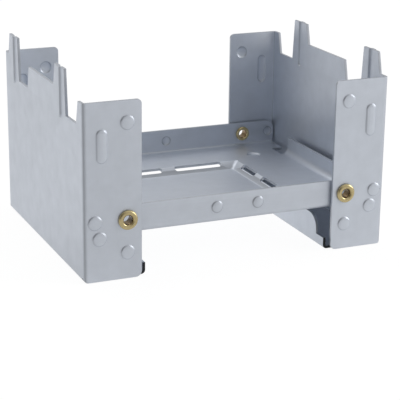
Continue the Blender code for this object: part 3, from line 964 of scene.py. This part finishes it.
@dataclass
class Tray(SheetPiece):
    """The tray. Its origin is the stove's middle at the height of the pivots."""

    rise: float = 0.0037
    drop: float = 0.0046
    wall_bend: float = 0.0015
    ear_corner: float = 0.0030
    tab_length: float = 0.0380
    tab_top: float = 0.0016
    tab_bend: float = 0.0030
    tab_setback: float = 0.0015
    corner_slot: float = 0.0074
    dimple_radius: float = 0.0024
    dimple_from_end: float = 0.0088
    dimple_from_tab: float = 0.0030
    well_length: float = 0.0488
    well_width: float = 0.0356
    well_slope: float = 0.0024
    well_depth: float = 0.0020
    well_corner: float = 0.0010
    well_corner_steps: int = 4
    well_edge: float = 0.0005
    well_edge_steps: int = 3
    slit_width: float = 0.0017
    slit_overlap: float = 0.00015
    slit_bridge: float = 0.0045
    long_slit: float = 0.0160
    short_slit: float = 0.0098
    stud_punch: Punch = Punch(height=0.00032, shoulder=0.00055, crown=0.00018, crown_rings=4)
    dimple_punch: Punch = Punch(height=0.0005, shoulder=0.00060)
    # Painted shade round the studs, dimples and well, and along the bends at the walls' foot
    stud_shade_share: float = 0.6
    bend_shade_share: float = 0.3

    @property
    def floor_half(self) -> float:
        """From the middle to where the end tabs' bends start."""
        return self.layout.pivot_x + self.layout.ear_radius - self.tab_setback - self.tab_bend

    @property
    def slot_half(self) -> float:
        """From the middle to the strip of floor that stays with a wall."""
        return self.tab_length / 2 + self.corner_slot

    def fold(self) -> None:
        """Fold the blank: two walls, their ears, two end tabs and the sunk well."""
        size = self.layout
        floor = -self.drop
        bend_y = size.wall_y - self.wall_bend
        tab_half = self.tab_length / 2
        self.lay_blank(Matrix.Identity(3), (0.0, 0.0, floor), 2 * self.floor_half, 2 * bend_y)
        widths = (self.slot_half, tab_half, self.well_width / 2)
        self.split(Axis.Y, [sign * width for sign in SIDES for width in widths])
        self.split(Axis.X, [sign * self.well_length / 2 for sign in SIDES])
        for side in SIDES:
            edge = side * bend_y
            centre = (0.0, edge, floor + self.wall_bend)
            self.bend(lambda at: near(at.y, edge), centre, Axis.X, side * QUARTER)
            face = side * size.wall_y
            self.pull(lambda at: near(at.y, face), (0.0, 0.0, self.rise - floor - self.wall_bend))
        ear = size.pivot_x + size.ear_radius + size.cut_margin - self.floor_half
        on_ear, on_tab = self.slot_half - NEAR, tab_half + NEAR
        for end in SIDES:
            edge = end * self.floor_half
            self.pull(lambda at: near(at.x, edge) and abs(at.y) > on_ear, (end * ear, 0.0, 0.0))
            centre = (edge, 0.0, floor + self.tab_bend)
            self.bend(lambda at: near(at.x, edge) and abs(at.y) < on_tab, centre, Axis.Y, -end * QUARTER)
            face = end * (self.floor_half + self.tab_bend)
            step = (0.0, 0.0, self.tab_top - floor - self.tab_bend)
            self.pull(lambda at: near(at.x, face) and abs(at.y) < on_tab, step)
        self.sink_well()
        self.thicken((0.0, 0.0, floor - self.well_depth), (0.0, 0.0, -1.0))

    def sink_well(self) -> None:
        """Press the well down with sloping sides, round corners and soft edges."""
        floor = -self.drop
        half_x, half_y = self.well_length / 2, self.well_width / 2
        with Bench.editing(self.body):
            Bench.pick(Part.FACES, lambda at: abs(at.x) < half_x + NEAR and abs(at.y) < half_y + NEAR)
            bpy.ops.mesh.dissolve_faces()
            bpy.ops.mesh.inset(thickness=self.well_slope, depth=0.0, use_even_offset=True)
            bpy.ops.transform.translate(value=(0.0, 0.0, -self.well_depth))
            self.pick_well(lambda a, b: abs(a.z - b.z) > NEAR)
            bpy.ops.mesh.bevel(offset=self.well_corner, segments=self.well_corner_steps, affect="EDGES")
            low = floor - self.well_depth
            self.pick_well(lambda a, b: near(a.z, low) and near(b.z, low))
            bpy.ops.mesh.bevel(offset=self.well_edge, segments=self.well_edge_steps, affect="EDGES")

    def pick_well(self, test: Callable[[Vector, Vector], bool]) -> None:
        """Pick edges of the well by the places of their two ends."""
        bpy.ops.mesh.select_mode(type="EDGE")
        bpy.ops.mesh.select_all(action="DESELECT")
        shape = bmesh.from_edit_mesh(self.body.data)
        half_x, half_y = self.well_length / 2 + NEAR, self.well_width / 2 + NEAR
        for edge in shape.edges:
            a, b = (vert.co for vert in edge.verts)
            inside = all(abs(at.x) < half_x and abs(at.y) < half_y for at in (a, b))
            if inside and test(a, b):
                edge.select_set(True)
        bmesh.update_edit_mesh(self.body.data)

    def pressings(self) -> list[Pressing]:
        """Every stud pressed outwards in the walls, and every dimple pressed down in the floor."""
        size = self.layout
        # A stop stud meets the flange's own one when the stove is shut, and a detent stud clicks in an ear
        stud_xs = (size.pivot_x - (size.level - size.stop_stud_drop), size.pivot_x + size.detent_radius)
        dimple_x = self.floor_half - self.dimple_from_end
        dimple_y = self.tab_length / 2 + self.dimple_from_tab
        made = []
        for side in SIDES:
            for end in SIDES:
                for x in stud_xs:
                    stud = (end * x, side * size.wall_y, 0.0)
                    made.append(Pressing((stud,), (0.0, side, 0.0), size.tray_stud_radius, self.stud_punch))
                dimple = (end * dimple_x, side * dimple_y, -self.drop)
                made.append(Pressing((dimple,), (0.0, 0.0, -1.0), self.dimple_radius, self.dimple_punch))
        return made

    def ear_end(self) -> list[Point2]:
        """What is cut off the right ends of the walls so that the end plate can swing past them."""
        size = self.layout
        middle = (size.ear_radius - self.ear_corner, self.rise - self.ear_corner)
        corner = arc(middle, self.ear_corner, QUARTER, math.atan2(middle[1], middle[0]), self.corner_steps)
        swing_radius = math.hypot(*corner[-1])
        start = math.atan2(corner[-1][1], corner[-1][0])
        end = -math.asin((self.drop + size.sheet) / swing_radius)
        swing = arc((0.0, 0.0), swing_radius, start, end, self.corner_steps)
        far = size.ear_radius + 2 * size.cut_margin
        above = self.rise + size.cut_margin
        outline = [(corner[0][0], above), *corner, *swing[1:], (far, swing[-1][1]), (far, above)]
        return [(size.pivot_x + x, z) for x, z in outline]

    def slit(self, low: Point2, high: Point2) -> bpy.types.Object:
        """A punch for one air slit with round ends, between two corners of its box."""
        size = self.layout
        radius = self.slit_width / 2
        middle = ((low[0] + high[0]) / 2, (low[1] + high[1]) / 2)
        half = (max(high[0] - low[0], high[1] - low[1]) / 2) - radius
        cap = arc((half, 0.0), radius, -QUARTER, QUARTER, self.corner_steps)
        outline = cap + [(-u, -v) for u, v in cap]
        if high[1] - low[1] > high[0] - low[0]:
            outline = [(-v, u) for u, v in outline]
        depth = self.well_depth + 2 * size.cut_margin
        centre = (*middle, -self.drop - self.well_depth / 2)
        return Bench.prism("slit", outline, Matrix.Identity(3), centre, depth)

    def slits(self) -> list[bpy.types.Object]:
        """The punches for the eight air slits round the well."""
        gap = self.slit_bridge / 2
        width = self.slit_width
        beside = self.well_width / 2 + self.slit_overlap - width
        beyond = self.well_length / 2 + self.slit_overlap - width
        made = []
        for end in SIDES:
            for side in SIDES:
                for x, y, length, breadth in (
                    (gap, beside, self.long_slit, width), (beyond, gap, width, self.short_slit)
                ):
                    xs = sorted((end * x, end * (x + length)))
                    ys = sorted((side * y, side * (y + breadth)))
                    made.append(self.slit((xs[0], ys[0]), (xs[1], ys[1])))
        return made

    def build(self) -> bpy.types.Object:
        """The whole tray, with the pivots at height zero."""
        size = self.layout
        self.fold()
        self.press(self.pressings())
        ear = self.ear_end()
        outlines = (ear, [(-x, z) for x, z in ear])
        middle = (0.0, 0.0, 0.0)
        self.shear([Bench.prism("ear", outline, ALONG, middle, size.depth) for outline in outlines])
        self.shear(self.slits())
        for end in SIDES:
            self.drill(end * size.pivot_x, size.half_depth)
        with Bench.editing(self.body):
            Bench.put_in_order()
        self.smooth()
        self.mark_painted_shade(self.painted_shade_share)
        return self.body

    def painted_shade_share(self, at: Vector) -> float:
        """How much painted shade the finish takes at a place: along the bends at the walls' foot, and round
        the studs, dimples and well.
        """
        size = self.layout
        if abs(at.y) > size.wall_y - self.wall_bend and at.z < self.wall_bend - self.drop:
            return self.bend_shade_share
        if abs(at.y) > size.wall_y - size.sheet - NEAR or at.z < -self.drop - NEAR:
            return self.stud_shade_share
        return 0.0


@dataclass
class Eyelet:
    """A hollow brass rivet. Its axis is Z, and the flange's outer face is at height zero.

    Attributes:
        layout: The shared sizes.
        brass: The finish of its outside.
        dull: The finish of its bore, dark brown as painted shade inside the hole.
        barrel: Radius of the barrel.
        bore: Radius of the bore.
        head: Radius of the head.
        crest: Height of the head's crest.
        rim: Height of the upright edge round the head and round the clinch.
        clinch: Radius of the clinched inner end.
        clinch_thickness: How thick that end is.
        seat_gap: Gap between the sheet and the head or the clinch.
        dome_steps: Facets across a dome.
        turn_steps: Facets round the axis.
        smooth_angle: Faces that turn by no more than this are shaded as one.
    """

    layout: Layout
    brass: bpy.types.Material
    dull: bpy.types.Material
    barrel: float = 0.00165
    bore: float = 0.00135
    head: float = 0.0028
    crest: float = 0.0010
    rim: float = 0.00015
    clinch: float = 0.00235
    clinch_thickness: float = 0.0005
    seat_gap: float = 0.0003
    dome_steps: int = 12
    turn_steps: int = 72
    smooth_angle: float = math.radians(40.0)

    def dome(self, inner: float, outer: float, base: float, height: float) -> list[Point2]:
        """Half an ellipse that rises from one radius and comes down at another."""
        middle, half = (inner + outer) / 2, (outer - inner) / 2
        half_turn = arc((0.0, 0.0), 1.0, 0.0, math.pi, self.dome_steps)
        return [(middle - half * u, base + height * v) for u, v in half_turn]

    def profile(self) -> list[Point2]:
        """Half of its section, down its outer side and up its bore."""
        seat = -(2 * self.layout.sheet + self.layout.wall_gap + self.seat_gap)
        rim = self.seat_gap + self.rim
        head = self.dome(self.bore, self.head, rim, self.crest - rim)
        clinch = self.dome(self.bore, self.clinch, seat - self.rim, self.rim - self.clinch_thickness)
        under_head = [(self.head, self.seat_gap), (self.barrel, self.seat_gap)]
        over_clinch = [(self.barrel, seat), (self.clinch, seat)]
        return [*head, *under_head, *over_clinch, *reversed(clinch)]

    def build(self) -> bpy.types.Object:
        """The eyelet, turned from its section."""
        points = [(radius, 0.0, height) for radius, height in self.profile()]
        obj = Bench.trace("eyelet", [*points, points[0]])
        with Bench.editing(obj):
            bpy.ops.mesh.remove_doubles(threshold=WELD)
            bpy.ops.mesh.select_all(action="SELECT")
            bpy.ops.mesh.spin(
                steps=self.turn_steps, angle=2 * math.pi, center=(0.0, 0.0, 0.0), axis=Axis.Z.value
            )
            bpy.ops.mesh.select_all(action="SELECT")
            bpy.ops.mesh.remove_doubles(threshold=WELD)
            bpy.ops.mesh.normals_make_consistent(inside=False)
            obj.data.materials.append(self.brass)
            obj.data.materials.append(self.dull)
            # The bore's faces take the painted shade
            Bench.pick(Part.FACES, lambda at: math.hypot(at.x, at.y) < self.bore + NEAR)
            obj.active_material_index = EyeletSlot.BORE
            bpy.ops.object.material_slot_assign()
        Bench.focus(obj)
        bpy.ops.object.shade_smooth_by_angle(angle=self.smooth_angle)
        return obj


@dataclass
class Stove:
    """The seven pieces, each in its place and on its body."""

    layout: Layout = field(default_factory=Layout)
    finishes: Finishes = field(default_factory=Finishes)

    def place(self, pattern: bpy.types.Object, name: str, place: Matrix, body: str, slot: str) -> None:
        """Put a copy of a piece in the stead of its node.

        Args:
            pattern: The piece at its own origin.
            name: The node that the copy stands for.
            place: Where it goes.
            body: The body that it rides on.
            slot: The record's material slot; not used.
        """
        piece = pattern.copy()
        piece.data = pattern.data.copy()
        bpy.context.scene.collection.objects.link(piece)
        Bench.settle(piece, place)
        piece.name = name + "_finish"
        piece.data.name = piece.name
        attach(piece, body)
        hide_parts(name)
        piece.data.calc_loop_triangles()
        LOG.info("%s: %d triangles on %s", piece.name, len(piece.data.loop_triangles), body)

    def build(self) -> None:
        """Model the tray, one end plate and one eyelet, and set a copy of each in every place it has."""
        size = self.layout
        edge = self.finishes.sheared_steel.make()
        upright = self.finishes.upright_steel.make()
        tray = Tray("tray_pattern", size, self.finishes.tray_steel.make(), edge).build()
        # The painted shadow for the return ends
        black = self.finishes.painted_shadow_edge.make()
        plate = EndPlate("plate_pattern", size, upright, edge, return_end_shadow=black).build()
        eyelet = Eyelet(size, self.finishes.brass.make(), self.finishes.bore_shade_brass.make()).build()

        raised = Matrix.Translation((0.0, 0.0, size.pivot_height))
        self.place(tray, "tray", raised, "tray", "galvanised_steel")
        for name, end, turn in (("left", -1.0, 0.0), ("right", 1.0, math.pi)):
            pivot = Matrix.Translation((end * size.pivot_x, 0.0, size.pivot_height))
            placed = pivot @ Matrix.Rotation(turn, 4, "Z")
            self.place(plate, name + "_end_plate", placed, name + "_end_plate", "galvanised_steel")
            for side, sign in (("front", -1.0), ("back", 1.0)):
                out = Matrix.Translation((0.0, sign * size.half_depth, 0.0))
                out = out @ Matrix.Rotation(-sign * QUARTER, 4, "X")
                self.place(eyelet, "eyelet_" + name + "_" + side, pivot @ out, "tray", "brass")
        for pattern in (tray, plate, eyelet):
            bpy.data.objects.remove(pattern)


@dataclass(frozen=True)
class Softbox:
    """A round area light that looks at the stove.

    Attributes:
        name: Its name.
        place: Where it hangs.
        size: Its width.
        power: Its power in watts.
    """

    name: str
    place: Point3
    size: float
    power: float

    def hang(self) -> None:
        """Put the light in its place."""
        lamp = bpy.data.lights.new(self.name, "AREA")
        lamp.shape = "DISK"
        lamp.size = self.size
        lamp.energy = self.power
        holder = bpy.data.objects.new(self.name, lamp)
        holder.location = self.place
        holder.rotation_euler = (-Vector(self.place)).to_track_quat("-Z", "Y").to_euler()
        bpy.context.scene.collection.objects.link(holder)


@dataclass(frozen=True)
class Glow:
    """Light from a surface that changes smoothly along one direction.

    Attributes:
        along: The direction, with its length as a scale on Object coordinates.
        start: Where the change starts along it.
        end: Where it ends.
        first: How bright the surface is up to the start.
        last: How bright it is from the end on.
    """

    along: Point3
    start: float
    end: float
    first: float
    last: float

    def add_to(self, tree: bpy.types.NodeTree) -> bpy.types.NodeSocket:
        """The nodes that give the brightness."""
        place = add_node(tree, "TexCoord", "Object", {})
        reach = add_node(tree, "VectorMath", "Value", {0: place, 1: self.along}, operation="DOT_PRODUCT")
        ends = {"From Min": self.start, "From Max": self.end, "To Min": self.first, "To Max": self.last}
        inputs = {"Value": reach, **ends}
        return add_node(tree, "MapRange", "Result", inputs, interpolation_type="SMOOTHSTEP")


@dataclass(frozen=True)
class Studio:
    """Floor, light and camera. The camera's place was fitted to the photograph.

    The camera sees a white floor and a white background. The metal sees a light tent and a floor sheet,
    which are dimmer and are hidden from the camera.

    Attributes:
        floor_size: Width of the floor and of the floor sheet.
        floor_height: Height of the floor, just under the feet.
        sheet_height: Height of the floor sheet, between the two.
        floor_colour: The floor's colour, which takes the shadows.
        floor_glow: How far the floor is lit from below.
        sheet_depth: The floor sheet's light from front to back.
        sheet_side: How the sheet's light changes from left to right.
        tent_radius: Radius of the light tent.
        tent_sides: Facets round the tent.
        tent_rings: Facets from its foot to its top.
        tent_rise: The tent's light from the ground up.
        tent_flag: How the tent's light changes towards its dark side.
        softboxes: The lights.
        azimuth: The camera's turn from the front.
        elevation: The camera's rise.
        roll: The camera's roll.
        distance: From the camera to its target.
        target: What the camera looks at.
        lens: Its focal length in millimetres.
        sight: The nearest and the farthest that it sees.
    """

    floor_size: float = 6.0
    floor_height: float = -0.0001
    sheet_height: float = -0.00005
    floor_colour: Colour = (0.13, 0.13, 0.13)
    floor_glow: float = 0.93
    sheet_depth: Glow = Glow((0.0, 1.0, 0.0), start=-0.08, end=0.04, first=0.42, last=0.65)
    sheet_side: Glow = Glow((1.0, 0.0, 0.0), start=0.0, end=0.07, first=1.0, last=1.30)
    tent_radius: float = 2.5
    tent_sides: int = 64
    tent_rings: int = 32
    tent_rise: Glow = Glow((0.0, 0.0, 0.4), start=0.0, end=1.0, first=0.40, last=0.60)
    tent_flag: Glow = Glow((-0.296, -0.208, 0.168), start=0.55, end=0.95, first=1.0, last=0.30)
    softboxes: tuple[Softbox, ...] = (
        Softbox("key", place=(1.05, -0.42, 0.42), size=0.7, power=4.0),
        Softbox("fill", place=(-0.05, 0.75, 1.1), size=1.0, power=2.6),
    )
    azimuth: float = math.radians(-23.513)
    elevation: float = math.radians(17.773)
    roll: float = math.radians(0.713)
    distance: float = 0.4384
    target: Point3 = (0.00436, 0.0015, 0.00691)
    lens: float = 126.66
    sight: Point2 = (0.01, 20.0)

    @staticmethod
    def lit(obj: bpy.types.Object, name: str, colour: Colour, glow: float) -> bpy.types.ShaderNode:
        """Name a studio object and give it a dull material that is lit from inside.

        Args:
            obj: The floor, the sheet or the tent.
            name: Its name.
            colour: The material's colour.
            glow: How bright it is.

        Returns:
            The material's shader.
        """
        obj.name = name
        material = bpy.data.materials.new(name)
        material.use_nodes = True
        shader = material.node_tree.nodes["Principled BSDF"]
        feed(shader, {"Base Color": (*colour, 1.0), "Roughness": 1.0, "Specular IOR Level": 0.0})
        feed(shader, {"Emission Color": (1.0, 1.0, 1.0, 1.0), "Emission Strength": glow})
        obj.data.materials.append(material)
        return shader

    @staticmethod
    def shade(shader: bpy.types.ShaderNode, first: Glow, second: Glow) -> None:
        """Light a studio object by the product of two changing glows."""
        tree = shader.id_data
        glows = {0: first.add_to(tree), 1: second.add_to(tree)}
        feed(shader, {"Emission Strength": add_node(tree, "Math", "Value", glows, operation="MULTIPLY")})

    def lay_floor(self) -> None:
        """The floor just under the stove's feet, and the floor sheet between the two."""
        planes = []
        for height in (self.floor_height, self.sheet_height):
            bpy.ops.object.select_all(action="DESELECT")
            bpy.ops.mesh.primitive_plane_add(size=self.floor_size, location=(0.0, 0.0, height))
            planes.append(bpy.context.object)
        floor, sheet = planes
        self.lit(floor, "floor", self.floor_colour, self.floor_glow)
        shader = self.lit(sheet, "floor_sheet", self.floor_colour, 1.0)
        self.shade(shader, self.sheet_depth, self.sheet_side)
        sheet.visible_camera = False
        sheet.visible_diffuse = False
        sheet.visible_shadow = False

    def pitch_tent(self) -> None:
        """The light tent round the stove."""
        bpy.ops.object.select_all(action="DESELECT")
        bpy.ops.mesh.primitive_uv_sphere_add(
            segments=self.tent_sides, ring_count=self.tent_rings, radius=self.tent_radius
        )
        tent = bpy.context.object
        shader = self.lit(tent, "tent", (0.0, 0.0, 0.0), 1.0)
        self.shade(shader, self.tent_rise, self.tent_flag)
        tent.visible_camera = False
        tent.visible_shadow = False

    def light(self) -> None:
        """A white background, the light tent and the softboxes."""
        world = bpy.data.worlds.new("studio")
        world.use_nodes = True
        background = world.node_tree.nodes["Background"]
        background.inputs["Color"].default_value = (1.0, 1.0, 1.0, 1.0)
        bpy.context.scene.world = world
        self.pitch_tent()
        for softbox in self.softboxes:
            softbox.hang()

    def aim(self) -> None:
        """The camera at the photograph's viewing angle."""
        sine, cosine, flat = math.sin(self.azimuth), math.cos(self.azimuth), math.cos(self.elevation)
        back = Vector((sine * flat, -cosine * flat, math.sin(self.elevation)))
        right = Vector((cosine, sine, 0.0))
        up = back.cross(right)
        rolled = Matrix.Rotation(self.roll, 3, back)
        axes = Matrix((rolled @ right, rolled @ up, back)).transposed()
        data = bpy.data.cameras.new("camera")
        data.lens = self.lens
        data.clip_start, data.clip_end = self.sight
        camera = bpy.data.objects.new("camera", data)
        place = Vector(self.target) + back * self.distance
        camera.matrix_world = Matrix.Translation(place) @ axes.to_4x4()
        bpy.context.scene.collection.objects.link(camera)
        bpy.context.scene.camera = camera

    def build(self) -> None:
        """Set everything up, with colours shown as they are."""
        self.lay_floor()
        self.light()
        self.aim()
        bpy.context.scene.view_settings.view_transform = "Standard"


def main() -> None:
    """Build the stove and its studio."""
    logging.basicConfig(level=logging.INFO, format="%(message)s")
    Stove().build()
    Studio().build()


if __name__ == "__main__":
    main()
